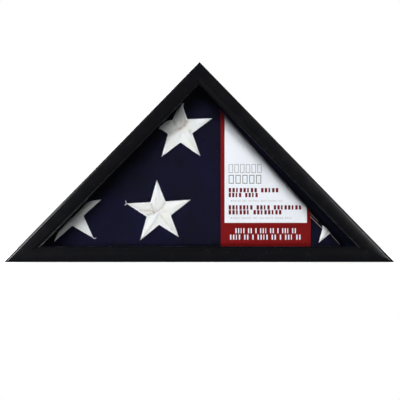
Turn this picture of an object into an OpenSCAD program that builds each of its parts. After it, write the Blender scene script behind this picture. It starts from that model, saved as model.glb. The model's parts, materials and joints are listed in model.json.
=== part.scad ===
// Folded flag display case: a mitred triangular box frame with a glass front,
// spacer strips, a lift-off back held by turn buttons, and a folded flag inside.
// The front faces -Y, the case stands on z = 0 and is centred on x = 0 and y = 0.

/* [Case] */
// Width of the case along its base
case_w = 374; // [364:1:384]
// Height of the case from the base to the apex
case_h = 192; // [188:1:196]
// Depth of the rails, front to back
rail_d = 60; // [56:1:70]

/* [Rails] */
// Thickness of a rail's wall
wall_t = 8; // [7.8:0.1:8.4]
// Width of a rail's face, from the outer edge to the sight edge
face_w = 15; // [14:0.1:16]
// Thickness of the lip in front of the glass
lip_t = 5; // [4:0.5:7]
// Radius of the rounded outer front edge
arris_r = 1.6; // [1:0.1:2.5]
// Width of the sloping band inside the flat of the face
bevel_w = 3; // [1.5:0.1:3.4]
// Depth that the sloping band falls back
bevel_d = 1.2; // [0.6:0.1:2]
// Radius of the fine bead along the sight edge
bead_r = 0.7; // [0.5:0.1:1]

/* [Glass and spacers] */
// Thickness of the glass
glass_t = 2; // [2:0.5:3]
// Gap between the glass and the rails' walls
glass_gap = 0.6; // [0.3:0.1:1]
// Thickness of the spacer strips that hold the glass against the lip
liner_t = 2; // [1.5:0.1:2.5]

/* [Folded flag] */
// Gap between the glass and the flag's front
flag_front_gap = 12; // [8:1:14]
// Thickness of the folded bundle
flag_t = 30; // [24:1:32]
// Gap between the bundle and the spacer strips
flag_gap = 0.5; // [0.3:0.1:2]
// Length cut off the bundle's thick, blunt corners
flag_blunt = 7; // [4:1:12]
// Distance of the bundle's rounded right edge from the right rail's outer side
fold_edge = 22.7; // [22:0.1:28]
// Height of the sewn stars above the cloth
star_t = 0.8; // [0.5:0.1:1.2]
// Radius of the circle through a star's five tips
star_r = 32; // [30:0.1:33]

/* [Label card] */
// Distance of the card's left edge from the middle of the case
card_x = 20.8; // [20:0.1:24]
// Width of the card
card_w = 87.1; // [80:0.1:88]
// Thickness of the card
card_t = 0.5; // [0.3:0.1:0.8]

/* [Back] */
// Thickness of the back panel
panel_t = 3; // [2.5:0.1:3.5]
// Gap between the back panel and the rails' walls
panel_gap = 0.4; // [0.3:0.05:0.6]
// How far the back panel lies below the rails' rear edges
panel_sink = 0.3; // [0.2:0.05:0.5]

/* [Hardware] */
// Length of a turn button
button_l = 26; // [22:1:28]
// Width of a turn button
button_w = 7; // [6:0.1:7]
// Thickness of a turn button
button_t = 1.2; // [1:0.1:1.3]
// Radius of a screw's shank
screw_r = 1.4; // [1.2:0.1:1.5]
// Radius of a screw's head
screw_head_r = 3; // [2.6:0.1:3.2]
// Length of a screw below its head
screw_l = 14; // [12:1:18]
// Width of the sawtooth hanger
hanger_w = 46; // [40:1:50]
// Height of the sawtooth hanger
hanger_h = 9; // [8:0.5:10]
// Height of the hanger's middle above the base
hanger_z = 138; // [130:1:142]

/* [Hidden] */
$fn = 48;
BUTTONS = ["turn_button_bottom_right", "turn_button_bottom_left", "turn_button_left_low",
           "turn_button_left_high", "turn_button_right_high", "turn_button_right_low"];

// Depths are counted from the front face; the whole case is centred on y = 0.
// Clearance of a turn button on its screw and above the wood, and of a spacer from its wall.
slip = 0.05;
screw_head_t = 1.7;
case_d = rail_d + slip + button_t + slip + screw_head_t;
front_y = -case_d / 2;
glass_v = lip_t;
spacer_v = glass_v + glass_t;
flag_v = spacer_v + flag_front_gap;
panel_v = rail_d - panel_sink - panel_t;

// The triangle in the plane of the front, as [x, z]: right, left and top corner.
CORNERS = [[case_w / 2, 0], [-case_w / 2, 0], [0, case_h]];
leg_l = norm([case_w / 2, case_h]);
in_r = case_w * case_h / (case_w + 2 * leg_l);
centre = [0, in_r];
// Side i runs from corner i to corner i + 1, with the inside on its right.
function side_start(i) = CORNERS[i];
function side_end(i) = CORNERS[(i + 1) % 3];
function side_len(i) = norm(side_end(i) - side_start(i));
function side_dir(i) = (side_end(i) - side_start(i)) / side_len(i);
function side_turn(i) = atan2(side_dir(i)[0], side_dir(i)[1]);

// Corners of the triangle whose sides lie a distance t inside the outer ones.
function inset(t) = [for (p = CORNERS) centre + (p - centre) * (1 - t / in_r)];

// The same triangle with its three points cut off square to their mitres.
function blunt(points, cut) = [for (i = [0:2]) for (end = [2, 1])
    let (to = points[(i + end) % 3] - points[i]) points[i] + to / norm(to) * cut];

// An [x, z] outline made solid from depth v0 to depth v1.
module slab(v0, v1) {
    translate([0, front_y + v1, 0]) rotate([90, 0, 0]) linear_extrude(v1 - v0) children();
}

// Local frame of a side: X inwards, Y to the back, Z along the side from its start.
module along_side(i) {
    start = side_start(i);
    translate([start[0], front_y, start[1]]) rotate([0, side_turn(i), 0]) children();
}

// Moulding section: X inwards from the outer side, Y to the back from the face.
module rail_section() {
    face_end = face_w - 2 * bead_r - bevel_w;
    difference() {
        union() {
            square([wall_t, rail_d]);
            square([face_end, lip_t]);
            polygon([[face_end, 0], [face_end + bevel_w, bevel_d],
                     [face_end + bevel_w, lip_t], [face_end, lip_t]]);
            translate([face_end + bevel_w, bevel_d + bead_r])
                square([2 * bead_r, lip_t - bevel_d - bead_r]);
            translate([face_w - bead_r, bevel_d + bead_r]) circle(bead_r);
        }
        difference() {
            translate([-1, -1]) square(arris_r + 1);
            translate([arris_r, arris_r]) circle(arris_r);
        }
    }
}

// A moulding along one side, mitred at both ends and pierced for its fasteners.
module rail(i) {
    color("#18181b") difference() {
        intersection() {
            along_side(i) linear_extrude(side_len(i)) rail_section();
            slab(0, rail_d) polygon([side_start(i), side_end(i), centre]);
        }
        nail_solids();
        screw_shanks();
    }
}

// Chevron nail outline in a corner: X along the mitre from the corner, Y across it.
module chevron() {
    reach = 2.8;
    steel = 0.9;
    polygon([[0, 0], [reach, reach], [reach + steel, reach], [steel, 0],
             [reach + steel, -reach], [reach, -reach]]);
}

// Chevron nails flush with the rear: two in each sharp corner and one at the apex.
module nail_solids() {
    nail_depth = 7;
    for (i = [0:2]) for (s = i == 2 ? [6] : [9.5, 14.5]) {
        to = centre - CORNERS[i];
        slab(rail_d - nail_depth, rail_d)
            translate(CORNERS[i]) rotate(atan2(to[1], to[0])) translate([s, 0]) chevron();
    }
}

module corner_nails() {
    color("#a9adb2") nail_solids();
}

module glass_pane() {
    color("#bfe3dc", 0.35) slab(glass_v, spacer_v) polygon(inset(wall_t + glass_gap));
}

// A strip along one wall, from the glass to the back panel.
module spacer(i) {
    outer = inset(wall_t + slip);
    inner = inset(wall_t + liner_t);
    j = (i + 1) % 3;
    color("#202024") slab(spacer_v, panel_v) polygon([outer[i], outer[j], inner[j], inner[i]]);
}

flag_inset = wall_t + liner_t + flag_gap;
module folded_flag() {
    color("#1b1846") slab(flag_v, flag_v + flag_t) polygon(blunt(inset(flag_inset), flag_blunt));
}

// Five-pointed star with one tip up, as an [x, z] outline.
module star_outline() {
    waist_r = star_r * sin(18) / sin(54);
    polygon([for (k = [0:4]) for (tip = [1, 0])
        let (a = 90 + k * 72 + (tip == 1 ? 0 : 36), r = tip == 1 ? star_r : waist_r)
        r * [cos(a), sin(a)]]);
}

// A star sewn to the front, cut by the bundle's edges where it folds round them.
module star(at, turn) {
    edge = 6;
    color("#ece9e2") slab(flag_v - star_t, flag_v) intersection() {
        translate(at) rotate(turn) star_outline();
        polygon(inset(flag_inset + edge));
    }
}

module star_top() { star([-18.6, 127.6], 1.5); }
module star_middle() { star([-39.5, 47.8], 3); }
module star_left() { star([-124.4, 46.8], 6); }

// Most of this star lies round the bundle's right edge and behind the card, out of sight.
module star_right() {
    fold = inset(fold_edge);
    beyond = fold[0] + side_dir(2) * case_h;
    card_end = card_x + card_w + slip;
    past_card = fold[2] + side_dir(2) * (card_end - fold[2][0]) / side_dir(2)[0];
    intersection() {
        star([133.2, 45.1], 3);
        slab(0, rail_d) polygon([past_card, beyond, [card_end, beyond[1]]]);
    }
}

module label_card() {
    color("#e9ebf2") slab(flag_v - card_t, flag_v) intersection() {
        translate([card_x, 0]) square([card_w, case_h]);
        polygon(inset(flag_inset + 1));
    }
}

module back_panel() {
    color("#7a5a3c") difference() {
        slab(panel_v, panel_v + panel_t) polygon(blunt(inset(wall_t + panel_gap), 3));
        rivet_places() cylinder(h = 2 * rail_d, r = rivet_r, center = true);
    }
}

// Hanger: two feet riveted to the panel and a raised bridge with a toothed lower edge.
hanger_t = 0.8;
bridge_rise = 1.2;
foot_l = 9;
rivet_r = 1.2;
hanger_v = panel_v + panel_t;

module rivet_places() {
    for (x = [-1, 1] * (hanger_w - foot_l) / 2)
        translate([x, front_y + hanger_v, hanger_z]) rotate([-90, 0, 0]) children();
}

module hanger_strip() {
    half = hanger_w / 2;
    ramp = 2;
    function edge(side, v) = [[side * half, v], [side * (half - foot_l), v],
                              [side * (half - foot_l - ramp), v + bridge_rise]];
    function flip(points) = [for (k = [len(points) - 1:-1:0]) points[k]];
    polygon(concat(edge(-1, 0), flip(edge(1, 0)), edge(1, hanger_t), flip(edge(-1, hanger_t))));
}

module sawtooth_hanger() {
    tooth = 2.4;
    teeth = 9;
    color("#c9ccd0") difference() {
        translate([0, front_y + hanger_v, hanger_z - hanger_h / 2])
            linear_extrude(hanger_h) hanger_strip();
        slab(hanger_v, case_d + 1) for (k = [0:teeth - 1])
            translate([(k - (teeth - 1) / 2) * tooth, hanger_z - hanger_h / 2])
                polygon([[-tooth / 2, -1], [tooth / 2, -1], [tooth / 2, 0], [0, tooth * 0.7],
                         [-tooth / 2, 0]]);
        rivet_places() cylinder(h = 4, r = rivet_r, center = true);
    }
}

module hanger_rivets() {
    head_r = 2.2;
    head_t = 0.7;
    color("#b4b7bb") rivet_places() {
        translate([0, 0, -panel_t]) cylinder(h = panel_t + hanger_t, r = rivet_r);
        translate([0, 0, hanger_t]) cylinder(h = head_t, r = head_r);
    }
}

// Turn buttons, two on each side; the pivots lie in the middle of the rails' walls.
pivot_u = 4.2;
// Button k turns on side k / 2 at this share of the side's length.
SHARES = [0.26, 0.74, 0.24, 0.66, 0.34, 0.76];
module button_place(k) {
    i = floor(k / 2);
    along_side(i) translate([pivot_u, rail_d, SHARES[k] * side_len(i)]) rotate([-90, 0, 0])
        children();
}

// Unlocked, the long arm lies along the rail, clear of the back panel.
module turn_button(k) {
    tail = 6;
    hole_r = screw_r + slip;
    arm = button_l - tail - button_w / 2;
    color("#b9bcc0") button_place(k) translate([0, 0, slip]) linear_extrude(button_t) difference() {
        union() {
            translate([-button_w / 2, 0]) square([button_w, arm]);
            translate([-button_w / 2, -tail + button_w / 2]) square([button_w, tail - button_w / 2]);
            translate([0, arm]) circle(button_w / 2);
            translate([0, -tail + button_w / 2]) circle(button_w / 2);
        }
        circle(hole_r);
    }
}

module screw_shanks() {
    for (k = [0:len(BUTTONS) - 1]) button_place(k) translate([0, 0, -screw_l])
        cylinder(h = screw_l + button_t + 2 * slip, r = screw_r);
}

module button_screws() {
    slot_w = 0.7;
    color("#d0d2d5") {
        screw_shanks();
        for (k = [0:len(BUTTONS) - 1]) button_place(k) translate([0, 0, button_t + 2 * slip])
            difference() {
                cylinder(h = screw_head_t, r = screw_head_r);
                for (turn = [20, 110]) rotate(turn) translate([-1.6, -slot_w / 2, 0.8])
                    cube([3.2, slot_w, 2]);
            }
    }
}

rail(0);  // rail_bottom
rail(1);  // rail_left
rail(2);  // rail_right
corner_nails();
glass_pane();
spacer(0);  // spacer_bottom
spacer(1);  // spacer_left
spacer(2);  // spacer_right
folded_flag();
star_top();
star_middle();
star_left();
star_right();
label_card();
back_panel();
sawtooth_hanger();
hanger_rivets();
button_screws();
for (k = [0:len(BUTTONS) - 1]) turn_button(k);
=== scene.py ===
"""Looks of the folded flag display case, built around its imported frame. Lengths are in metres."""

import json
import math
import random

import bmesh
import bpy
from mathutils import Matrix, Vector, noise

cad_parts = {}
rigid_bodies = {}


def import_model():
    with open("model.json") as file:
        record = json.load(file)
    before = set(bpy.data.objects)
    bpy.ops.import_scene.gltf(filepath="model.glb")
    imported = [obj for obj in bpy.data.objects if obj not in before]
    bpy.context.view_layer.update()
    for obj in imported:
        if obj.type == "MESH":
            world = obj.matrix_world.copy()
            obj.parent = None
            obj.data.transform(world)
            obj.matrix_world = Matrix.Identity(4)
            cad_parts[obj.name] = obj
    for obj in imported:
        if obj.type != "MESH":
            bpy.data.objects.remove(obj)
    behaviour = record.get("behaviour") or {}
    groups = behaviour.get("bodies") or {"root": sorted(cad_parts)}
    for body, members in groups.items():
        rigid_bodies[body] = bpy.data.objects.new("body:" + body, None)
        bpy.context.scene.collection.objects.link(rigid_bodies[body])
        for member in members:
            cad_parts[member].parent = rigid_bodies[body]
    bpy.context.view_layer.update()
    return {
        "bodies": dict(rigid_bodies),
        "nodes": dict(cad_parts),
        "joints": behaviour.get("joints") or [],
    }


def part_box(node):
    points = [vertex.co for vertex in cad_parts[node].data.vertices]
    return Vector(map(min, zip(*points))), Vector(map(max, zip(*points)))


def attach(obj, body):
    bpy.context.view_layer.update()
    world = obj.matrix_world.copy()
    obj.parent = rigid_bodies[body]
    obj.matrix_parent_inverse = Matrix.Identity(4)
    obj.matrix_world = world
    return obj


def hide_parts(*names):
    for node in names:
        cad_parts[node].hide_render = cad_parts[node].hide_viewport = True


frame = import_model()
MM = 0.001
random.seed(7)


# ---------------------------------------------------------------- sizes taken from the frame
def low(node):
    """Lowest corner of a node's box."""
    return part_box(node)[0]


def high(node):
    """Highest corner of a node's box."""
    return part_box(node)[1]


FRONT_Y = low("rail_bottom").y
REAR_Y = high("rail_bottom").y
RAIL_D = REAR_Y - FRONT_Y
CASE_W = high("rail_bottom").x - low("rail_bottom").x
CASE_H = high("rail_left").z
FACE_W = high("rail_bottom").z
WALL_T = low("spacer_bottom").z
GLASS_Y = low("glass_pane").y
FLAG_Y = low("folded_flag").y
FLAG_T = high("folded_flag").y - FLAG_Y
LIP_T = GLASS_Y - FRONT_Y
CARD_LEFT = low("label_card").x
CARD_RIGHT = high("label_card").x
CARD_LOW = low("label_card").z

# The case's triangle in the plane of its front, as (x, z): right, left and top corner.
CORNERS = [Vector((CASE_W / 2, 0)), Vector((-CASE_W / 2, 0)), Vector((0, CASE_H))]
SIDE_L = [(CORNERS[(i + 1) % 3] - CORNERS[i]).length for i in range(3)]
IN_R = CASE_W * CASE_H / sum(SIDE_L)
CENTRE = Vector((0, IN_R))
ALONG = [(CORNERS[(i + 1) % 3] - CORNERS[i]) / SIDE_L[i] for i in range(3)]
INWARD = [Vector((d.y, -d.x)) for d in ALONG]
BOTTOM, LEFT, RIGHT = range(3)
TOP_CORNER = 2
QUARTER = math.pi / 2


def inset_of(side, point):
    """How far an (x, z) point lies inside the outer line of a side."""
    return (point - CORNERS[side]).dot(INWARD[side])


# ---------------------------------------------------------------- shader helpers
def add(tree, kind, inputs=None, **settings):
    """A node with its settings and inputs; an input may be another node's output."""
    node = tree.nodes.new("ShaderNode" + kind)
    for key, value in settings.items():
        setattr(node, key, value)
    for key, value in (inputs or {}).items():
        if isinstance(value, bpy.types.NodeSocket):
            tree.links.new(value, node.inputs[key])
        else:
            node.inputs[key].default_value = value
    return node


def material(name, **values):
    """A new Principled material, its node tree and its shader."""
    mat = bpy.data.materials.new(name)
    mat.use_nodes = True
    shader = mat.node_tree.nodes["Principled BSDF"]
    for key, value in values.items():
        shader.inputs[key.replace("_", " ")].default_value = value
    return mat, mat.node_tree, shader


def place(tree):
    """Object coordinates, in metres."""
    return add(tree, "TexCoord").outputs["Object"]


def noise_of(tree, where, scale, detail=3.0, roughness=0.5):
    """Cloudy pattern from 0 to 1; the scale is in patches a metre."""
    inputs = {"Vector": where, "Scale": scale, "Detail": detail, "Roughness": roughness}
    return add(tree, "TexNoise", inputs).outputs["Fac"]


def maths(tree, operation, a, b=0.0, c=0.0):
    """A sum on one to three values or outputs."""
    return add(tree, "Math", {0: a, 1: b, 2: c}, operation=operation).outputs[0]


def ranged(tree, value, low_in, high_in, low_out, high_out):
    """A value moved from one range to another, and held inside it."""
    inputs = {"Value": value, "From Min": low_in, "From Max": high_in,
              "To Min": low_out, "To Max": high_out}
    return add(tree, "MapRange", inputs).outputs[0]


def mixed(tree, factor, first, second):
    """Colour between two colours."""
    node = add(tree, "Mix", {0: factor}, data_type="RGBA")
    for index, colour in ((6, first), (7, second)):
        if isinstance(colour, bpy.types.NodeSocket):
            tree.links.new(colour, node.inputs[index])
        else:
            node.inputs[index].default_value = (*colour, 1)
    return node.outputs[2]


def bumped(tree, shader, height, distance, strength=1.0, under=None):
    """Relief on the shader's normal, over an earlier relief if there is one."""
    inputs = {"Height": height, "Distance": distance, "Strength": strength}
    if under is not None:
        inputs["Normal"] = under
    normal = add(tree, "Bump", inputs).outputs[0]
    tree.links.new(normal, shader.inputs["Normal"])
    return normal


def feed(tree, shader, **sockets):
    """Links outputs to the shader's named inputs."""
    for key, value in sockets.items():
        tree.links.new(value, shader.inputs[key.replace("_", " ")])


# ---------------------------------------------------------------- materials
def satin_black():
    """Black wrap on the mouldings: satin, faintly pebbled, with a little dust in the light."""
    mat, tree, shader = material("satin_black", Specular_IOR_Level=0.3, Coat_Weight=0.5,
                                 Coat_Roughness=0.14)
    where = place(tree)
    cloud = noise_of(tree, where, 22)
    tone = mixed(tree, cloud, (0.0062, 0.0072, 0.0094), (0.0094, 0.0088, 0.0125))
    speck = add(tree, "TexVoronoi", {"Vector": where, "Scale": 150.0}).outputs["Distance"]
    rare = ranged(tree, noise_of(tree, where, 400), 0.60, 0.70, 0, 1)
    dust = maths(tree, "MULTIPLY", ranged(tree, speck, 0.03, 0.09, 1, 0), rare)
    colour = mixed(tree, maths(tree, "MULTIPLY", dust, 0.5), tone, (0.10, 0.10, 0.11))
    gloss = ranged(tree, noise_of(tree, where, 90, 4), 0.3, 0.7, 0.20, 0.29)
    feed(tree, shader, Base_Color=colour, Roughness=gloss)
    pebble = noise_of(tree, where, 1400, 2)
    wave = noise_of(tree, where, 60, 2)
    first = bumped(tree, shader, wave, 0.0001, 0.1)
    bumped(tree, shader, pebble, 0.00005, 0.15, first)
    return mat


def flat_black():
    """Dull black paint on the spacers, showing a little of the wood's grain."""
    mat, tree, shader = material("flat_black", Specular_IOR_Level=0.25)
    where = add(tree, "Mapping", {"Vector": place(tree), "Scale": (1, 0.08, 1)}).outputs[0]
    grain = noise_of(tree, where, 500, 4)
    colour = mixed(tree, grain, (0.006, 0.006, 0.0065), (0.015, 0.0145, 0.015))
    feed(tree, shader, Base_Color=colour, Roughness=ranged(tree, grain, 0.3, 0.7, 0.55, 0.75))
    bumped(tree, shader, grain, 0.0001, 0.3)
    return mat


def clear_glass():
    """Float glass: bends and mirrors light for the eye, and lets lamps through."""
    mat, tree, shader = material("clear_glass", Base_Color=(0.99, 0.998, 0.995, 1),
                                 Transmission_Weight=1.0, IOR=1.46)
    smear = noise_of(tree, place(tree), 30, 4)
    feed(tree, shader, Roughness=ranged(tree, smear, 0.45, 0.75, 0.0, 0.015))
    through = add(tree, "BsdfTransparent", {"Color": (0.97, 0.985, 0.98, 1)}).outputs[0]
    shadow = add(tree, "LightPath").outputs["Is Shadow Ray"]
    both = add(tree, "MixShader", {0: shadow, 1: shader.outputs[0], 2: through}).outputs[0]
    tree.links.new(both, tree.nodes["Material Output"].inputs["Surface"])
    return mat


def weave_height(tree, where, pitch):
    """Height of a plain weave: threads run both ways and pass over each other in turn."""
    axes = add(tree, "SeparateXYZ", {0: where})
    across = [maths(tree, "DIVIDE", axes.outputs[k], pitch) for k in range(2)]
    crests = [maths(tree, "ABSOLUTE", maths(tree, "SINE", maths(tree, "MULTIPLY", a, math.pi)))
              for a in across]
    steps = maths(tree, "ADD", *[maths(tree, "FLOOR", a) for a in across])
    turn = maths(tree, "PINGPONG", steps, 1.0)
    over = maths(tree, "MULTIPLY", crests[0], turn)
    under = maths(tree, "MULTIPLY", crests[1], maths(tree, "SUBTRACT", 1.0, turn))
    return maths(tree, "ADD", over, under)


def navy_cloth():
    """Dyed cotton: deep navy, clouded with a bluer tone, woven and a little fluffy."""
    mat, tree, shader = material("navy_cloth", Roughness=0.92, Sheen_Weight=0.04,
                                 Sheen_Roughness=0.45, Sheen_Tint=(0.30, 0.28, 0.8, 1),
                                 Specular_IOR_Level=0.1)
    cloth = add(tree, "UVMap", uv_map="cloth").outputs[0]
    cloud = noise_of(tree, cloth, 17, 5, 0.62)
    blot = noise_of(tree, cloth, 75, 4, 0.6)
    blend = maths(tree, "MULTIPLY_ADD", blot, 0.45, maths(tree, "MULTIPLY", cloud, 0.75))
    depth = ranged(tree, blend, 0.44, 0.82, 0, 1)
    tone = mixed(tree, depth, (0.0034, 0.0034, 0.0076), (0.0056, 0.0048, 0.0290))
    height = weave_height(tree, cloth, 0.00062)
    thread = mixed(tree, maths(tree, "MULTIPLY", height, 0.3), tone, (0.0070, 0.0066, 0.0200))
    feed(tree, shader, Base_Color=thread)
    first = bumped(tree, shader, noise_of(tree, cloth, 220, 3), 0.0005, 0.35)
    bumped(tree, shader, height, 0.00016, 0.5, first)
    return mat


def star_cloth():
    """Off-white embroidery: threads across each arm, with painted brownish shade where it is pinched in
    and painted grey shade on some arms.
    """
    mat, tree, shader = material("star_cloth", Roughness=0.75, Sheen_Weight=0.08,
                                 Sheen_Roughness=0.4, Specular_IOR_Level=0.25)
    thread = add(tree, "UVMap", uv_map="cloth").outputs[0]
    where = place(tree)
    # Painted shade from the mesh: crease shade in red, arm shade in green.
    painted_shade = add(tree, "SeparateColor", {0: add(tree, "Attribute", attribute_name="painted_shade").outputs[0]})
    blush = ranged(tree, noise_of(tree, where, 60, 4), 0.38, 0.68, 0, 1)
    clean = mixed(tree, blush, (0.84, 0.85, 0.87), (0.82, 0.80, 0.77))
    # Painted grey shade on the shaded arms.
    dulling_and_shade = mixed(tree, painted_shade.outputs[1], clean, (0.30, 0.275, 0.265))
    patchy = ranged(tree, noise_of(tree, where, 330, 4, 0.7), 0.30, 0.62, 0.25, 1.1)
    # Painted brownish shade along the pinched creases, broken up by noise.
    crease_shade = maths(tree, "MULTIPLY", painted_shade.outputs[0], patchy)
    colour = mixed(tree, maths(tree, "MINIMUM", crease_shade, 0.85), dulling_and_shade, (0.36, 0.255, 0.20))
    axes = add(tree, "SeparateXYZ", {0: thread})
    ripple = maths(tree, "SINE", maths(tree, "MULTIPLY", axes.outputs[0], math.tau / 0.00055))
    tuft = noise_of(tree, where, 500, 3)
    feed(tree, shader, Base_Color=colour)
    first = bumped(tree, shader, tuft, 0.0004, 0.45)
    bumped(tree, shader, ripple, 0.00009, 0.5, first)
    return mat


def star_thread():
    """Bright white thread of the stitched border."""
    mat, tree, shader = material("star_thread", Roughness=0.5, Sheen_Weight=0.2,
                                 Sheen_Roughness=0.3)
    where = place(tree)
    twist = noise_of(tree, where, 900, 2)
    feed(tree, shader, Base_Color=mixed(tree, twist, (0.86, 0.86, 0.87), (0.95, 0.95, 0.96)))
    bumped(tree, shader, twist, 0.0001, 0.4)
    return mat


def fold_highlight_paint():
    """Pale pinkish colour on the fold edges: painted highlight of the lit edges of the folded cloth."""
    mat, tree, shader = material("fold_highlight_paint", Roughness=0.8, Specular_IOR_Level=0.2)
    highlight_mottle = noise_of(tree, place(tree), 300, 3)
    # Painted highlight, mottled.
    tone = mixed(tree, highlight_mottle, (0.20, 0.165, 0.18), (0.42, 0.36, 0.37))
    feed(tree, shader, Base_Color=tone)
    bumped(tree, shader, highlight_mottle, 0.0001, 0.4)
    return mat


def print_on_card(name, colour, roughness):
    """Ink or bare board of the card: smooth, with the board's faint fibre and mottle."""
    mat, tree, shader = material(name, Specular_IOR_Level=0.06)
    where = place(tree)
    fibre = noise_of(tree, where, 700, 4, 0.6)
    mottle = noise_of(tree, where, 45, 3)
    darker = tuple(c * 0.92 for c in colour)
    feed(tree, shader, Base_Color=mixed(tree, mottle, colour, darker),
         Roughness=ranged(tree, fibre, 0.3, 0.7, roughness, roughness + 0.12))
    bumped(tree, shader, fibre, 0.00004, 0.3)
    return mat


def hardboard():
    """Pressed brown fibreboard: smooth face, short fibres and a few dark flecks."""
    mat, tree, shader = material("hardboard", Specular_IOR_Level=0.3)
    where = place(tree)
    fibre = noise_of(tree, add(tree, "Mapping", {"Vector": where, "Scale": (1, 1, 2.5)}).outputs[0],
                     350, 6, 0.7)
    cloud = noise_of(tree, where, 14, 3)
    base = mixed(tree, cloud, (0.150, 0.082, 0.040), (0.205, 0.120, 0.062))
    tone = mixed(tree, ranged(tree, fibre, 0.35, 0.7, 0, 1), (0.085, 0.046, 0.024), base)
    fleck = ranged(tree, noise_of(tree, where, 900, 2), 0.66, 0.72, 0, 0.7)
    feed(tree, shader, Base_Color=mixed(tree, fleck, tone, (0.045, 0.026, 0.016)),
         Roughness=ranged(tree, fibre, 0.3, 0.7, 0.42, 0.62))
    bumped(tree, shader, fibre, 0.00012, 0.35)
    return mat


def plated_steel(name, colour, scale):
    """Bright zinc plate with fine drawing lines, and darker where it has dulled."""
    mat, tree, shader = material(name, Metallic=1.0)
    where = place(tree)
    lines = noise_of(tree, add(tree, "Mapping", {"Vector": where, "Scale": scale}).outputs[0],
                     2600, 3)
    dulling_and_shade = noise_of(tree, where, 160, 4, 0.6)
    tone = mixed(tree, ranged(tree, dulling_and_shade, 0.35, 0.7, 0, 1), colour, tuple(c * 0.66 for c in colour))
    gloss = maths(tree, "MULTIPLY_ADD", lines, 0.12, ranged(tree, dulling_and_shade, 0.3, 0.7, 0.22, 0.4))
    feed(tree, shader, Base_Color=tone, Roughness=gloss)
    bumped(tree, shader, lines, 0.00003, 0.4)
    return mat


BLACK = satin_black()
SPACER_BLACK = flat_black()
GLASS = clear_glass()
NAVY = navy_cloth()
STAR = star_cloth()
THREAD = star_thread()
FOLD_HIGHLIGHT_PAINT = fold_highlight_paint()
PAPER_WHITE = print_on_card("card_white", (0.86, 0.87, 0.93), 0.42)
PAPER_RED = print_on_card("card_red", (0.200, 0.0055, 0.006), 0.55)
INK_RED = print_on_card("ink_dark_red", (0.15, 0.010, 0.016), 0.45)
INK_GREY = print_on_card("ink_grey", (0.30, 0.30, 0.29), 0.40)
INK_PALE = print_on_card("ink_pale_grey", (0.58, 0.58, 0.60), 0.40)
INK_DARK = print_on_card("ink_dark_grey", (0.16, 0.17, 0.14), 0.40)
BOARD = hardboard()
ZINC = plated_steel("zinc_plate", (0.70, 0.71, 0.73), (1, 0.05, 1))
BUTTON_STEEL = plated_steel("button_steel", (0.66, 0.67, 0.70), (0.05, 1, 1))


# ---------------------------------------------------------------- mesh helpers
def piece(name, bm, materials, sharp=32):
    """The finished mesh as an object at the origin, smooth except across sharp edges."""
    limit = math.radians(sharp)
    for face in bm.faces:
        face.smooth = True
    for edge in bm.edges:
        edge.smooth = len(edge.link_faces) == 2 and edge.calc_face_angle() < limit
    mesh = bpy.data.meshes.new(name)
    bm.to_mesh(mesh)
    bm.free()
    for mat in materials:
        mesh.materials.append(mat)
    obj = bpy.data.objects.new(name, mesh)
    bpy.context.scene.collection.objects.link(obj)
    return obj


def fit(obj, body, slot, *nodes):
    """Ties a piece to its body, in place of the CAD nodes it shows. The slot is not used."""
    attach(obj, body)
    if nodes:
        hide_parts(*nodes)
    return obj


def soften(obj, width, segments=2, angle=35):
    """Live bevel on every edge sharper than the angle."""
    bevel = obj.modifiers.new("edges", "BEVEL")
    bevel.width = width
    bevel.segments = segments
    bevel.limit_method = "ANGLE"
    bevel.angle_limit = math.radians(angle)
    return obj


def to_world(side):
    """Matrix of a side's frame: X inwards, Y to the back, Z along the side from its start."""
    at, n, d = CORNERS[side], INWARD[side], ALONG[side]
    return Matrix(((n.x, 0, d.x, at.x), (0, 1, 0, FRONT_Y), (n.y, 0, d.y, at.y), (0, 0, 0, 1)))


def cut(bm, at, normal):
    """Cuts off everything on the normal's side of a plane."""
    bmesh.ops.bisect_plane(bm, geom=bm.verts[:] + bm.edges[:] + bm.faces[:], dist=1e-8,
                           plane_co=at, plane_no=normal, clear_outer=True)


def close(bm):
    """Fills every hole and turns the faces outwards."""
    open_edges = [e for e in bm.edges if e.is_boundary]
    bmesh.ops.holes_fill(bm, edges=open_edges, sides=0)
    bmesh.ops.recalc_face_normals(bm, faces=bm.faces[:])


def merge(bm, part):
    """Adds a mesh to another and frees it."""
    mesh = bpy.data.meshes.new("part")
    part.to_mesh(mesh)
    part.free()
    bm.from_mesh(mesh)
    bpy.data.meshes.remove(mesh)


def new_verts(grown):
    """The vertices in an operator's result."""
    return [v for v in grown if isinstance(v, bmesh.types.BMVert)]


# ---------------------------------------------------------------- rails
ARRIS_R = 2.0 * MM
SLOPE_W = 3.0 * MM
SLOPE_D = 1.2 * MM
BEAD_W = 1.3 * MM
QUIRK = 0.5 * MM
MITRE_GAP = 0.004 * MM
SAW_OVER = 10 * MM


def rail_outline(bm):
    """Section of the moulding as one face: X inwards, Y to the back, its corners rounded."""
    bead_x = FACE_W - BEAD_W
    face_end = bead_x - SLOPE_W
    corners = [  # x, y, radius, segments
        (0, 0, ARRIS_R, 6), (face_end, 0, 0.6 * MM, 3), (bead_x - 0.15 * MM, SLOPE_D, 0.1 * MM, 1),
        (bead_x, SLOPE_D + QUIRK, 0, 0), (bead_x, SLOPE_D, 0.45 * MM, 4),
        (FACE_W, SLOPE_D, 0.7 * MM, 5), (FACE_W, LIP_T, 0.3 * MM, 1), (WALL_T, LIP_T, 0, 0),
        (WALL_T, RAIL_D, 0.4 * MM, 2), (0, RAIL_D, 0.6 * MM, 2)]
    verts = [bm.verts.new((x, y, 0)) for x, y, _, _ in corners]
    bm.faces.new(verts)
    for vert, (_, _, radius, segments) in zip(verts, corners):
        if radius:
            bmesh.ops.bevel(bm, geom=[vert], offset=radius, segments=segments, profile=0.5,
                            affect="VERTICES", material=-1, clamp_overlap=True)


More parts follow.
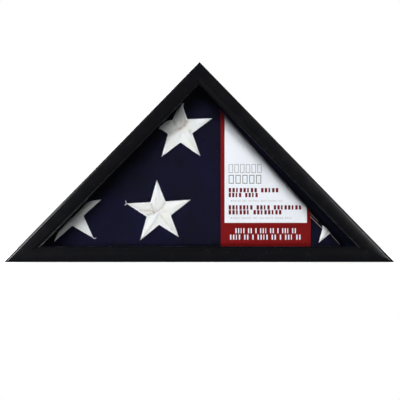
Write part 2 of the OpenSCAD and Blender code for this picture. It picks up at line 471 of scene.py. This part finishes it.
def rail(name, side):
    """A length of the moulding, mitred at both ends."""
    bm = bmesh.new()
    rail_outline(bm)
    bmesh.ops.translate(bm, verts=bm.verts[:], vec=(0, 0, -SAW_OVER))
    ends = new_verts(bmesh.ops.extrude_face_region(bm, geom=bm.faces[:])["geom"])
    bmesh.ops.translate(bm, verts=ends, vec=(0, 0, SIDE_L[side] + 2 * SAW_OVER))
    bmesh.ops.transform(bm, matrix=to_world(side), verts=bm.verts[:])
    for corner, other in ((side, -ALONG[side]), ((side + 1) % 3, ALONG[side])):
        mitre = (CENTRE - CORNERS[corner]).normalized()
        away = Vector((mitre.y, -mitre.x))
        away *= math.copysign(1, away.dot(other))
        at = CORNERS[corner] - away * MITRE_GAP
        cut(bm, (at.x, 0, at.y), (away.x, 0, away.y))
    close(bm)
    obj = piece(name, bm, [BLACK])
    soften(obj, 0.12 * MM, 2, 50)
    return fit(obj, "case", "black_rail", name)


# ---------------------------------------------------------------- the cloth's surface
# Where the flat front starts to roll over at each side, and the roll's radius, which shrinks
# down the right side.
ROLL_START = {BOTTOM: 19.3 * MM, LEFT: 24.6 * MM, RIGHT: 31.9 * MM}
ROLL_R = {BOTTOM: 6.4 * MM, LEFT: 8.6 * MM, RIGHT: 12.5 * MM}
TIGHTENING = 0.06
EVEN_AT = 104 * MM

# Heights of the front's swells and dents, which the card holds nearly flat and lets go beside it.
SWELL_H = 0.9 * MM
DENT_H = 0.28 * MM
HELD_FLAT = 0.25
LOOSENS_OVER = 22 * MM


def sag(x, z):
    """Gentle swells and dents of the stuffed front, as a height above the flat."""
    broad = noise.noise(Vector((x / 0.055, z / 0.045, 0.3)))
    small = noise.noise(Vector((x / 0.019, z / 0.019, 4.1)))
    beside = abs(x - (CARD_LEFT + CARD_RIGHT) / 2) - (CARD_RIGHT - CARD_LEFT) / 2
    loose = max(HELD_FLAT, min(1.0, HELD_FLAT + beside / LOOSENS_OVER))
    return (SWELL_H * broad + DENT_H * small) * loose


def wrapped(x, z, lift=0.0):
    """Where a point of the unrolled cloth lies once it is wrapped round the bundle's front."""
    at = Vector((x, z))
    shift = Vector((0, 0))
    height = lift + sag(x, z)
    depth = -height
    for side in range(3):
        past = ROLL_START[side] - inset_of(side, at)
        if past <= 0:
            continue
        radius = ROLL_R[side]
        if side == RIGHT:
            radius += TIGHTENING * (z - EVEN_AT)
        turn = min(past / radius, QUARTER)
        straight = max(0.0, past - radius * QUARTER)
        shift += INWARD[side] * (past - (radius + height) * math.sin(turn))
        depth += (radius + height) * (1 - math.cos(turn)) + straight
    return Vector((x + shift.x, FLAG_Y + depth, z + shift.y))


def wrapped_frame(x, z, direction, lift):
    """Matrix on the wrapped cloth: X along a direction of the unrolled cloth, Z off the surface."""
    step = 0.2 * MM
    here = wrapped(x, z, lift)
    ahead = wrapped(x + direction.x * step, z + direction.y * step, lift) - here
    beside = wrapped(x - direction.y * step, z + direction.x * step, lift) - here
    out = beside.cross(ahead).normalized()
    ahead.normalize()
    side = out.cross(ahead)
    return Matrix((
        (ahead.x, side.x, out.x, here.x), (ahead.y, side.y, out.y, here.y),
        (ahead.z, side.z, out.z, here.z), (0, 0, 0, 1)))


def flat_sheet(bm, low_corner, high_corner, spacing):
    """A grid in the plane of the unrolled cloth, with x as X and z as Y."""
    size = high_corner - low_corner
    bmesh.ops.create_grid(bm, x_segments=round(size.x / spacing),
                          y_segments=round(size.y / spacing), size=0.5)
    bmesh.ops.scale(bm, vec=(size.x, size.y, 1), verts=bm.verts[:])
    middle = (low_corner + high_corner) / 2
    bmesh.ops.translate(bm, verts=bm.verts[:], vec=(middle.x, middle.y, 0))


def trim_flat(bm, side, inset):
    """Cuts an unrolled sheet along a line parallel to a side of the case."""
    at = CORNERS[side] + INWARD[side] * inset
    cut(bm, (at.x, at.y, 0), (-INWARD[side].x, -INWARD[side].y, 0))


def lay_uv(bm):
    """Cloth UV of an unrolled sheet, in metres."""
    layer = bm.loops.layers.uv.new("cloth")
    for face in bm.faces:
        for loop in face.loops:
            loop[layer].uv = loop.vert.co.xy
    return layer


# ---------------------------------------------------------------- folded flag
BACK_ROLL_R = 5 * MM
CLOTH_SPACING = 1.7 * MM
LAYERS = 9
BUNDLE_INSET = 11.2 * MM
BLUNT_TOP = 26 * MM
BLUNT_ENDS = 40 * MM
GROOVE_D = 1.2 * MM
TUCK_STEP = 1.6 * MM


def back_point(x, z):
    """Where the unrolled cloth lies on the bundle's rear, with its last fold tucked across."""
    at = Vector((x, z))
    shift = Vector((0, 0))
    depth = sag(-x, z) * 0.6
    tuck = (at - Vector((0.012, 0))).dot(Vector((0.62, -0.785)))
    depth += TUCK_STEP / (1 + math.exp(-tuck / (0.5 * MM))) - TUCK_STEP
    for side in range(3):
        start = ROLL_START[side] - ROLL_R[side] * QUARTER + BACK_ROLL_R * QUARTER
        past = start - inset_of(side, at)
        if past > 0:
            turn = min(past / BACK_ROLL_R, QUARTER)
            shift += INWARD[side] * (past - BACK_ROLL_R * math.sin(turn))
            depth -= BACK_ROLL_R * (1 - math.cos(turn))
    return Vector((x + shift.x, FLAG_Y + FLAG_T + depth, z + shift.y))


def folded_flag():
    """The stuffed triangle: a rolled front, a tucked rear and the edges of its folds between."""
    bm = bmesh.new()
    reach = Vector((CASE_W / 2, CASE_H))
    flat_sheet(bm, Vector((-reach.x, 0)), reach, CLOTH_SPACING)
    for side in range(3):
        trim_flat(bm, side, ROLL_START[side] - ROLL_R[side] * QUARTER)
        mitre = (CENTRE - CORNERS[side]).normalized()
        point = CORNERS[side] + mitre * (BLUNT_TOP if side == TOP_CORNER else BLUNT_ENDS)
        cut(bm, (point.x, point.y, 0), (-mitre.x, -mitre.y, 0))
    layer = lay_uv(bm)
    twin = bmesh.ops.duplicate(bm, geom=bm.faces[:])["geom"]
    rear = set(new_verts(twin))
    bmesh.ops.reverse_faces(bm, faces=[f for f in twin if isinstance(f, bmesh.types.BMFace)])
    rims = [e for e in bm.edges if e.is_boundary]
    for vert in bm.verts:
        spot = back_point if vert in rear else wrapped
        vert.co = spot(vert.co.x, vert.co.y)
    skin = {tuple(v.co) for v in bm.verts}
    walls = bmesh.ops.bridge_loops(bm, edges=rims)
    struts = [e for f in walls["faces"] for e in f.edges if (e.verts[0] in rear) != (e.verts[1] in rear)]
    struts = list(dict.fromkeys(struts))
    bmesh.ops.subdivide_edges(bm, edges=struts, cuts=LAYERS * 4 - 1, use_grid_fill=True)
    pitch = FLAG_T / LAYERS
    for vert in [v for v in bm.verts if tuple(v.co) not in skin]:
        spot = Vector((vert.co.x, vert.co.z))
        share = (vert.co.y - FLAG_Y) / pitch
        ripple = noise.noise(Vector((spot.x / 0.03, share * 0.7, spot.y / 0.03)))
        groove = abs(math.sin(math.pi * (share + 0.35 * ripple))) ** 0.5
        near = min(range(3), key=lambda k: inset_of(k, spot) / ROLL_START[k])
        room = inset_of(near, spot) - BUNDLE_INSET
        past_skin = (vert.co.y - FLAG_Y - ROLL_R[near]) / (5 * MM)
        swell = room * math.sqrt(max(0.0, min(1.0, past_skin, (LAYERS - share) / 2)))
        away = (spot - CENTRE) * (1 + (swell + (groove - 1) * GROOVE_D) / IN_R)
        vert.co.x, vert.co.z = CENTRE.x + away.x, CENTRE.y + away.y
    bmesh.ops.recalc_face_normals(bm, faces=bm.faces[:])
    for face in bm.faces:
        if all(tuple(v.co) in skin for v in face.verts):
            continue
        out = Vector((face.normal.x, face.normal.z))
        near = min(range(3), key=lambda k: INWARD[k].dot(out))
        for loop in face.loops:
            spot = loop.vert.co
            loop[layer].uv = (ALONG[near].dot(Vector((spot.x, spot.z))), spot.y)
    obj = piece("flag_cloth", bm, [NAVY], 60)
    fit(obj, "case", "navy_cloth", "folded_flag")
    return obj


# ---------------------------------------------------------------- stars
STAR_R = 31.5 * MM
STARS = {  # centre (x, z) in millimetres on the unrolled cloth, turn in degrees, length of each arm
    "star_top": (-18.6, 127.6, 1.5, (1.0, 1.0, 0.99, 1.0, 1.03)),
    "star_middle": (-39.5, 47.8, 3.0, (0.97, 1.0, 1.01, 0.97, 1.04)),
    "star_left": (-124.4, 46.8, 6.0, (1.0, 1.0, 1.0, 1.01, 1.0)),
    "star_right": (133.2, 45.1, 3.0, (1.0, 1.0, 1.0, 1.0, 1.0)),
}
WAIST = math.sin(math.radians(18)) / math.sin(math.radians(54))
WAIST_OUT = WAIST * math.cos(math.radians(36))
STITCH_PITCH = 0.78 * MM
STITCH_LIFT = 0.42 * MM
HIDDEN_EDGE = 11.0 * MM
FOLD_EDGE = 22.7 * MM
FACET_CUTS = 25
FACET_EDGE_H = 0.4 * MM
FACET_RIDGE_H = 0.75 * MM
PUCKER_H = 0.13 * MM
TUFT_H = 0.04 * MM


def star_centre(name):
    """A star's centre on the unrolled cloth."""
    return Vector(STARS[name][:2]) * MM


def star_points(name):
    """Tips and waists of a star in turn, as (x, z), starting with the upper tip."""
    turn, arms = STARS[name][2:]
    points = []
    for k in range(10):
        angle = math.radians(90 + turn + 36 * k)
        radius = STAR_R * (arms[k // 2] if k % 2 == 0 else WAIST)
        points.append(star_centre(name) + Vector((math.cos(angle), math.sin(angle))) * radius)
    return points


def star_edge(name, side):
    """How far inside a side a star's cloth ends: the right-hand one is cut by a fold."""
    return FOLD_EDGE if name == "star_right" and side == RIGHT else HIDDEN_EDGE


def on_cloth(name, point):
    """Whether a point of a star's unrolled cloth shows from the front."""
    return all(inset_of(side, point) > star_edge(name, side) for side in range(3))


# Where the embroidery is pinched in: lines in millimetres from a star's centre, before its turn.
# Each has a width, a depth and a strength of painted shade.
PINCHES = {
    "star_top": [
        (((7, 9.8), (5.5, 5), (2.5, 2.2), (-1.5, 0.6), (-5, -1.2), (-8, -3.4), (-11, -4.4)),
         1.7, 0.32, 0.75),
        (((-6.9, 9.6), (-4.6, 6.2), (-3.4, 3.2), (-2.2, 0.8)), 1.1, 0.25, 0.6),
        (((1.5, 10), (1.8, 4), (0.5, -6)), 1.0, 0.25, 0.25),
        (((9, -1), (16, -11)), 1.2, 0.2, 0.5)],
    "star_middle": [
        (((-6.9, 9.6), (-6.0, 5.4), (-4.4, 2.2), (-2.4, 0.8), (0.8, 1.4), (3.8, 3.8), (6.8, 8.6)),
         1.0, 0.28, 0.5),
        (((-1.6, 14), (-1.9, 7), (-1.4, 1)), 0.7, 0.25, 0.4),
        (((-11, -2.4), (-7.5, -1.2), (-4.6, -1.6), (-4.2, 0.6), (-6.2, 1.4), (-10, 1.8)),
         0.8, 0.22, 0.75),
        (((-4.8, 0.3), (-4.0, -0.6)), 0.9, 0.3, 1.2),
        (((-18, 3.0), (-12, 2.0), (-8, 3.2)), 0.9, 0.3, 0.45),
        (((1, -2), (9, -13), (12, -18)), 0.9, 0.25, 0.3),
        (((-1, -3), (-4, -10), (-9, -16)), 0.9, 0.2, 0.2)],
    "star_left": [(((2, 10), (0, 2), (-3, -8)), 1.0, 0.3, 0.3)],
    "star_right": [],
}
# Arms with painted shade, darker grey: tips by number, and how much darker.
SHADED_ARMS = {"star_top": {0: 0.22, 1: 0.02}, "star_middle": {1: 0.10, 0: 0.06}}


def pinch(name, spot):
    """Depth in metres and painted crease shade from the pinched lines near a spot of a star's own plane.
    """
    depth, crease_shade = 0.0, 0.0
    for line, width, deep, shade_weight in PINCHES[name]:
        near = min(to_segment(spot / MM, Vector(a), Vector(b)) for a, b in zip(line, line[1:]))
        fall = math.exp(-(near / width) ** 2)
        depth = max(depth, deep * fall)
        crease_shade = max(crease_shade, shade_weight * fall)
    return depth * MM, crease_shade


def to_segment(point, a, b):
    """Distance from a point to a straight piece between two others."""
    along = b - a
    share = max(0.0, min(1.0, (point - a).dot(along) / along.length_squared))
    return (point - a - along * share).length


def star_facet(name, axis_tip, tip, waist):
    """One half of an arm: ridged along the arm, with its threads' UV and its painted shade."""
    centre, turn = star_centre(name), math.radians(STARS[name][2])
    axis = (tip - centre).normalized()
    across = Vector((-axis.y, axis.x))
    half = abs((waist - centre).dot(across))
    facet = bmesh.new()
    thread = facet.loops.layers.uv.new("cloth")
    painted_shade = facet.verts.layers.float_color.new("painted_shade")
    facet.faces.new([facet.verts.new((*p, 0)) for p in (centre, tip, waist)])
    bmesh.ops.subdivide_edges(facet, edges=facet.edges[:], cuts=FACET_CUTS, use_grid_fill=True)
    for face in facet.faces:
        for loop in face.loops:
            spot = loop.vert.co.xy - centre
            loop[thread].uv = (spot.dot(axis), spot.dot(across))
    for vert in facet.verts:
        spot = vert.co.xy - centre
        out = spot.dot(axis) / (tip - centre).length
        room = half * (out / WAIST_OUT if out < WAIST_OUT else (1 - out) / (1 - WAIST_OUT))
        aside = min(1.0, abs(spot.dot(across)) / max(room, 1e-6))
        deep, crease_shade = pinch(name, Matrix.Rotation(-turn, 2) @ spot)
        ridge = FACET_RIDGE_H * (1 - aside) * min(1.0, 0.3 + out * 1.6)
        vert.co.z = FACET_EDGE_H + ridge - deep
        # Painted shade on the listed arms, growing from the centre out.
        dulling_and_shade = SHADED_ARMS.get(name, {}).get(axis_tip, 0.0) * min(1.0, out * 6)
        vert[painted_shade] = (crease_shade, dulling_and_shade, 0, 1)
    return facet


def face_front(bm):
    """Turns an open sheet's normals towards the front."""
    bmesh.ops.recalc_face_normals(bm, faces=bm.faces[:])
    if sum(f.normal.y * f.calc_area() for f in bm.faces) > 0:
        bmesh.ops.reverse_faces(bm, faces=bm.faces[:])


def star_body(name):
    """The star's face as ten facets laid on the cloth."""
    bm = bmesh.new()
    # Colour layer that carries the painted shade.
    bm.verts.layers.float_color.new("painted_shade")
    points = star_points(name)
    for k in range(10):
        tip, waist = (k, (k + 1) % 10) if k % 2 == 0 else ((k + 1) % 10, k)
        merge(bm, star_facet(name, tip // 2, points[tip], points[waist]))
    bmesh.ops.remove_doubles(bm, verts=bm.verts[:], dist=0.01 * MM)
    for side in range(3):
        trim_flat(bm, side, star_edge(name, side))
    for vert in bm.verts:
        pucker = noise.noise(Vector((vert.co.x / 0.0042, vert.co.y / 0.0042, 1.7)))
        tuft = noise.noise(Vector((vert.co.x / 0.0012, vert.co.y / 0.0012, 5.2)))
        lift = vert.co.z + PUCKER_H * pucker + TUFT_H * tuft
        vert.co = wrapped(vert.co.x, vert.co.y, lift)
    face_front(bm)
    return bm


def star_border(name):
    """Satin stitches side by side along the star's outline."""
    bm = bmesh.new()
    points = star_points(name)
    for k in range(10):
        first, second = points[k], points[(k + 1) % 10]
        edge = second - first
        count = int(edge.length / STITCH_PITCH)
        direction = edge.normalized()
        inward = Vector((-direction.y, direction.x))
        for n in range(count + 1):
            spot = first + edge * (n / count)
            tip_at = first if k % 2 == 0 else second
            slim = min(1.0, 0.25 + (spot - tip_at).length / (5 * MM))
            spot += inward * random.uniform(0.3, 0.5) * slim * MM
            if not on_cloth(name, spot):
                continue
            slant = inward + direction * random.uniform(-0.3, 0.3)
            length = random.uniform(0.75, 1.1) * slim * MM
            place_at = wrapped_frame(spot.x, spot.y, slant.normalized(), STITCH_LIFT)
            size = Matrix.Diagonal((length, 0.42 * MM, 0.34 * MM, 1))
            bmesh.ops.create_icosphere(bm, subdivisions=1, radius=1, matrix=place_at @ size)
    return bm


def tube(bm, points, radius):
    """A thread along some points, closed at both ends."""
    rings = []
    for k, point in enumerate(points):
        before, after = points[max(k - 1, 0)], points[min(k + 1, len(points) - 1)]
        heading = (after - before).to_track_quat("Z", "Y").to_matrix().to_4x4()
        spot = Matrix.Translation(point) @ heading
        rings.append(bmesh.ops.create_circle(bm, segments=6, radius=radius, matrix=spot)["verts"])
    for first, second in zip(rings, rings[1:]):
        edges = [e for ring in (first, second) for v in ring for e in v.link_edges
                 if e.other_vert(v) in ring]
        bmesh.ops.bridge_loops(bm, edges=list(dict.fromkeys(edges)))
    close(bm)


def star(name):
    """A sewn star: its face and its stitched border."""
    body = piece(name + "_cloth", star_body(name), [STAR], 70)
    fit(body, "case", "star_thread", name)
    border = piece(name + "_border", star_border(name), [THREAD], 180)
    fit(border, "case", "star_thread", name)


def thread_tails():
    """Loose ends of sewing thread at two tips."""
    bm = bmesh.new()
    tip = star_points("star_middle")[2]
    low_tip = star_points("star_left")[6]
    tails = [(tip, (0, 0), (-0.9, 0.5), (-1.3, 1.6), (-1.2, 2.9)),
             (tip, (0.2, -0.1), (-0.9, -0.5), (-1.9, -1.2), (-2.4, -1.3)),
             (low_tip, (-0.3, 0.2), (0.8, -0.9), (2.0, -1.0), (3.0, -0.2))]
    for root, *steps in tails:
        points = [wrapped(root.x + u * MM, root.y + w * MM, 0.45 * MM) for u, w in steps]
        tube(bm, points, 0.26 * MM)
    fit(piece("thread_tails", bm, [THREAD], 180), "case", "star_thread")


# Painted highlight along the lit fold edges beside the card.
FOLD_HIGHLIGHTS = {  # inset from the right side, radius, and x at the start and the end, in millimetres
    "upper_fold_highlight": (26.3, 0.30, 107.6, 119.0),
    "middle_fold_highlight": (23.2, 0.22, 107.6, 116.5),
    "lower_fold_highlight": (22.9, 0.30, 127.5, 137.8),
}


def fold_highlight_lines():
    """Pale lines on the edges of the folds beside the card, along the right side of the bundle: painted
    highlight of the lit fold edges.
    """
    for name, (inset, radius, start, end) in FOLD_HIGHLIGHTS.items():
        bm = bmesh.new()
        points = []
        for k in range(13):
            x = (start + (end - start) * k / 12) * MM
            base = CORNERS[RIGHT] + INWARD[RIGHT] * inset * MM
            spot = base + ALONG[RIGHT] * (x - base.x) / ALONG[RIGHT].x
            points.append(wrapped(spot.x, spot.y, 0.2 * MM))
        tube(bm, points, radius * MM)
        fit(piece(name, bm, [FOLD_HIGHLIGHT_PAINT], 180), "case", "star_thread")


# ---------------------------------------------------------------- sales card
PANEL_LEFT = CARD_LEFT + 3.7 * MM
PANEL_RIGHT = CARD_RIGHT - 3.6 * MM
PANEL_LOW = 37.4 * MM
CARD_LIFT = 0.35 * MM
PRINT_LIFT = CARD_LIFT + 0.08 * MM
CARD_T = 0.3 * MM
PRINT_H = 4.2 * MM
BAND_PRINT_H = 4.8 * MM
BAND_INK = 0.45


def lay_on(bm, lift):
    """Wraps a flat sheet round the bundle's front, facing outwards."""
    for vert in bm.verts:
        vert.co = wrapped(vert.co.x, vert.co.y, lift)
    face_front(bm)


def straighten(x, z):
    """How far right a flat point moves, so that an upright edge still looks upright once rolled."""
    flat = x
    for _ in range(6):
        flat += x - wrapped(flat, z).x
    return min(flat - x, 3 * MM)


def card():
    """The printed card: red with a white panel, bent round the bundle's right edge."""
    bm = bmesh.new()
    flat_sheet(bm, Vector((CARD_LEFT, CARD_LOW)), Vector((CARD_RIGHT, CASE_H)), 1.6 * MM)
    trim_flat(bm, RIGHT, 12.5 * MM)
    for at, normal in (((PANEL_LEFT, 0, 0), (1, 0, 0)), ((PANEL_RIGHT, 0, 0), (1, 0, 0)),
                       ((0, PANEL_LOW, 0), (0, 1, 0))):
        bmesh.ops.bisect_plane(bm, geom=bm.verts[:] + bm.edges[:] + bm.faces[:], dist=1e-8,
                               plane_co=at, plane_no=normal)
    for face in bm.faces:
        middle = face.calc_center_median()
        inside = PANEL_LEFT < middle.x < PANEL_RIGHT and middle.y > PANEL_LOW
        face.material_index = 1 if inside else 0
    for vert in bm.verts:
        vert.co.x += straighten(vert.co.x, vert.co.y)
    lay_on(bm, CARD_LIFT)
    obj = piece("card_sheet", bm, [PAPER_RED, PAPER_WHITE], 60)
    board = obj.modifiers.new("board", "SOLIDIFY")
    board.thickness = CARD_T
    board.offset = -1
    fit(obj, "case", "printed_card", "label_card")


def block(bm, x, z, width, height, index):
    """A small printed block on the card, in flat card places."""
    part = bmesh.new()
    flat_sheet(part, Vector((x, z)), Vector((x + width, z + height)), max(width, height) / 4)
    lay_on(part, PRINT_LIFT)
    for face in part.faces:
        face.material_index = index
    merge(bm, part)


def row(bm, x, z, width, height, words, index, ink=0.66):
    """A row of plain blocks in groups, where a line of print would be, filling its width."""
    step = width / (sum(words) + 0.8 * (len(words) - 1))
    for count in words:
        for k in range(count):
            block(bm, x, z, step * ink * (1.0, 0.72)[k % 3 == 2], height, index)
            x += step
        x += step * 0.8


def frame_box(bm, x, z, width, height, line, index):
    """An empty printed box made of four thin blocks."""
    for a, b, w, h in ((0, 0, width, line), (0, height - line, width, line),
                       (0, line, line, height - 2 * line),
                       (width - line, line, line, height - 2 * line)):
        block(bm, x + a, z + b, w, h, index)


def card_print():
    """Plain blocks and empty boxes in place of the card's print."""
    bm = bmesh.new()
    red, grey, pale, white, dark = range(5)
    left = PANEL_LEFT + 4.0 * MM
    # Each row's height on the card and its width, in millimetres, and the blocks in its groups.
    for z, width, words in ((66.9, 49.2, (8, 5)), (62.2, 29.2, (4, 4)),
                            (50.2, 71.4, (7, 4, 8)), (45.5, 52.2, (6, 8))):
        row(bm, left, z * MM, width * MM, PRINT_H, words, red)
    for z, width, words in ((57.8, 50.8, (5, 3, 7, 4, 6, 3)), (41.2, 58.8, (4, 6, 3, 8, 5, 4))):
        block(bm, left + 2.4 * MM, (z + 0.4) * MM, 0.9 * MM, 0.9 * MM, dark)
        row(bm, left + 4.6 * MM, z * MM, (width - 2.2) * MM, 1.7 * MM, words, pale, 0.5)
    for z, count, line, index in ((85.8, 6, 0.5, grey), (75.4, 5, 0.7, dark)):
        pitch = 33.2 * MM / count
        for k in range(count):
            frame_box(bm, left + k * pitch, z * MM, pitch * 0.74, 8.4 * MM, line * MM, index)
    for x, z, width, words in ((14.2, 27.3, 60.0, (4, 2, 1, 3, 2, 1, 3, 2)),
                               (9.0, 21.1, 69.8, (4, 2, 1, 4, 2, 1, 3, 2))):
        row(bm, CARD_LEFT + x * MM, z * MM, width * MM, BAND_PRINT_H, words, white, BAND_INK)
    obj = piece("card_print", bm, [INK_RED, INK_GREY, INK_PALE, PAPER_WHITE, INK_DARK], 60)
    fit(obj, "case", "printed_card", "label_card")


# ---------------------------------------------------------------- rear hardware
BUTTON_W = 7 * MM
BUTTON_ARM = 20 * MM
BUTTON_TAIL = 6 * MM
BUTTON_HOLE_R = 1.45 * MM


def button_outline(bm):
    """Outline of a turn button in its own plane, with round ends at +arm and -tail."""
    for vert in bmesh.ops.create_circle(bm, segments=32, radius=BUTTON_W / 2)["verts"]:
        upper = vert.co.y > 1e-7
        vert.co.y += BUTTON_ARM - BUTTON_W / 2 if upper else BUTTON_W / 2 - BUTTON_TAIL


def turn_button(name):
    """Pressed steel turn button with a hole for its screw and soft edges."""
    joint = next(j for j in frame["joints"] if j["child"] == name)
    pivot = Vector(joint["pos_m"])
    lo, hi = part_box(name)
    side = LEFT if "left_" in name else RIGHT if "right_" in name else BOTTOM
    bm = bmesh.new()
    button_outline(bm)
    bmesh.ops.create_circle(bm, segments=32, radius=BUTTON_HOLE_R)
    bmesh.ops.bridge_loops(bm, edges=bm.edges[:])
    grown = bmesh.ops.extrude_face_region(bm, geom=bm.faces[:])["geom"]
    bmesh.ops.translate(bm, verts=new_verts(grown), vec=(0, 0, hi.y - lo.y))
    bmesh.ops.recalc_face_normals(bm, faces=bm.faces[:])
    n, d = INWARD[side], -ALONG[side]
    spot = Matrix(((n.x, d.x, 0, pivot.x), (0, 0, 1, lo.y), (n.y, d.y, 0, pivot.z), (0, 0, 0, 1)))
    bmesh.ops.transform(bm, matrix=spot, verts=bm.verts[:])
    bmesh.ops.recalc_face_normals(bm, faces=bm.faces[:])
    obj = piece(name + "_plate", bm, [BUTTON_STEEL])
    soften(obj, 0.25 * MM, 3)
    fit(obj, name, "button_steel", name)


def screw_heads():
    """Domed screw heads with a cross recess, one on each pivot."""
    bm = bmesh.new()
    top = high("button_screws").y
    head_r, cross_w, cross_l = 3 * MM, 0.55 * MM, 1.7 * MM
    for k, joint in enumerate(j for j in frame["joints"] if j["type"] == "hinge"):
        part = bmesh.new()
        arms = []
        for quarter in range(4):
            turn = Matrix.Rotation(quarter * QUARTER, 3, "Z")
            arms += [turn @ Vector(p) for p in ((cross_w, cross_w, 0), (cross_w, cross_l, 0),
                                                (-cross_w, cross_l, 0))]
        cross = part.faces.new([part.verts.new(p) for p in arms])
        edges = list(cross.edges)
        ring = bmesh.ops.create_circle(part, segments=24, radius=cross_l * 1.2)["verts"]
        rim = [e for v in ring for e in v.link_edges]
        bmesh.ops.bridge_loops(part, edges=list(dict.fromkeys(edges + rim)))
        for radius, drop in ((0.84, 0.22), (0.96, 0.6), (1.0, 1.0), (1.0, 1.45)):
            outer = [e for e in part.edges if e.is_boundary]
            for v in new_verts(bmesh.ops.extrude_edge_only(part, edges=outer)["geom"]):
                v.co = Vector((v.co.x, v.co.y, 0)).normalized() * head_r * radius
                v.co.z = -drop * MM
        cross = min(part.faces, key=lambda f: f.calc_center_median().length)
        for v in new_verts(bmesh.ops.extrude_face_region(part, geom=[cross])["geom"]):
            v.co = Vector((v.co.x * 0.55, v.co.y * 0.55, -1.0 * MM))
        bmesh.ops.delete(part, geom=[cross], context="FACES_ONLY")
        close(part)
        spin = Matrix.Rotation(math.radians(17 + 41 * k), 4, "Z")
        x, _, z = joint["pos_m"]
        spot = Matrix(((1, 0, 0, x), (0, 0, 1, top), (0, 1, 0, z), (0, 0, 0, 1)))
        bmesh.ops.transform(part, matrix=spot @ spin, verts=part.verts[:])
        bmesh.ops.recalc_face_normals(part, faces=part.faces[:])
        merge(bm, part)
    obj = piece("screw_heads", bm, [ZINC], 40)
    soften(obj, 0.08 * MM, 2, 45)
    fit(obj, "case", "zinc_steel", "button_screws")


FOOT_T = 0.8 * MM


def rivets():
    """Domed rivet heads on the hanger's feet."""
    bm = bmesh.new()
    lo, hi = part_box("hanger_rivets")
    base = high("back_panel").y + FOOT_T
    radius = (hi.z - lo.z) / 2
    for x in (lo.x + radius, hi.x - radius):
        spot = Matrix.Translation((x, base, (lo.z + hi.z) / 2))
        size = Matrix.Diagonal((radius, hi.y - base, radius, 1))
        bmesh.ops.create_uvsphere(bm, u_segments=28, v_segments=14, radius=1,
                                  matrix=spot @ size @ Matrix.Rotation(QUARTER, 4, "X"))
    cut(bm, (0, base, 0), (0, -1, 0))
    close(bm)
    fit(piece("rivet_heads", bm, [ZINC], 60), "back", "zinc_steel", "hanger_rivets")


def dress(node, mat):
    """Gives a CAD node its finished material."""
    slots = frame["nodes"][node].data.materials
    slots.clear()
    slots.append(mat)


# ---------------------------------------------------------------- stage
CAMERA_BACK = 1.40
VIEW_W = 382.8 * MM
VIEW_CENTRE = (0.67 * MM, 59.5 * MM)
AIM_AT = Vector((0, 0, 70 * MM))
FLOOR_R = 0.43


def camera():
    """Looks straight at the front, with its width of view given at the front's plane."""
    data = bpy.data.cameras.new("camera")
    data.sensor_width = 36
    data.lens = data.sensor_width * CAMERA_BACK / VIEW_W
    data.clip_end = 20
    obj = bpy.data.objects.new("camera", data)
    obj.location = (VIEW_CENTRE[0], FRONT_Y - CAMERA_BACK, VIEW_CENTRE[1])
    obj.rotation_euler = (QUARTER, 0, 0)
    bpy.context.scene.collection.objects.link(obj)
    bpy.context.scene.camera = obj


def lamp(name, at, size, watts):
    """A round lamp aimed at the middle of the case."""
    data = bpy.data.lights.new(name, "AREA")
    data.shape = "DISK"
    data.size = size
    data.energy = watts
    obj = bpy.data.objects.new(name, data)
    obj.location = at
    aim = AIM_AT - Vector(at)
    obj.rotation_euler = aim.to_track_quat("-Z", "Y").to_euler()
    obj.visible_camera = False
    bpy.context.scene.collection.objects.link(obj)


def floor():
    """White where it is seen, and dim in reflections, with the case's contact shadow."""
    bm = bmesh.new()
    bmesh.ops.create_circle(bm, cap_ends=True, segments=96, radius=FLOOR_R)
    obj = piece("floor", bm, [])
    mat, tree, shader = material("pale_floor", Roughness=0.9, Specular_IOR_Level=0.1,
                                 Emission_Color=(1, 1, 1, 1))
    eye = add(tree, "LightPath").outputs["Is Camera Ray"]
    grain = noise_of(tree, place(tree), 40, 3)
    pale = mixed(tree, grain, (0.88, 0.88, 0.88), (0.92, 0.92, 0.92))
    feed(tree, shader, Base_Color=mixed(tree, eye, (0.10, 0.10, 0.10), pale),
         Emission_Strength=maths(tree, "MULTIPLY", eye, 0.75))
    obj.data.materials.append(mat)


def surroundings():
    """White behind the case; dark round the camera and brighter overhead and behind."""
    world = bpy.data.worlds.new("studio")
    bpy.context.scene.world = world
    world.use_nodes = True
    tree = world.node_tree
    tree.nodes.clear()
    axes = add(tree, "SeparateXYZ", {0: add(tree, "TexCoord").outputs["Generated"]})
    ahead = ranged(tree, axes.outputs[1], -0.85, 0.1, 0.02, 0.12)
    above = ranged(tree, axes.outputs[2], -0.3, 0.4, 0.25, 1.0)
    level = maths(tree, "MULTIPLY", ahead, above)
    room = add(tree, "Background", {"Color": (0.93, 0.95, 1, 1), "Strength": level}).outputs[0]
    sheet = add(tree, "Background", {"Color": (1, 1, 1, 1), "Strength": 1.0}).outputs[0]
    eye = add(tree, "LightPath").outputs["Is Camera Ray"]
    both = add(tree, "MixShader", {0: eye, 1: room, 2: sheet}).outputs[0]
    out = add(tree, "OutputWorld")
    tree.links.new(both, out.inputs["Surface"])


camera()
surroundings()
floor()
lamp("key", (-1.05, -1.1, 0.42), 0.6, 15.8)
lamp("fill", (0.69, -1.28, 0.29), 0.32, 2.6)
lamp("rear", (-0.5, 1.3, 1.0), 1.1, 24)
bpy.context.scene.view_settings.view_transform = "Standard"

for rail_name, rail_side in (("rail_bottom", BOTTOM), ("rail_left", LEFT), ("rail_right", RIGHT)):
    rail(rail_name, rail_side)
for spacer in ("spacer_bottom", "spacer_left", "spacer_right"):
    dress(spacer, SPACER_BLACK)
dress("glass_pane", GLASS)
dress("corner_nails", ZINC)
dress("back_panel", BOARD)
dress("sawtooth_hanger", ZINC)
folded_flag()
for star_name in STARS:
    star(star_name)
thread_tails()
fold_highlight_lines()
card()
card_print()
for body_name in frame["bodies"]:
    if body_name.startswith("turn_button"):
        turn_button(body_name)
screw_heads()
rivets()
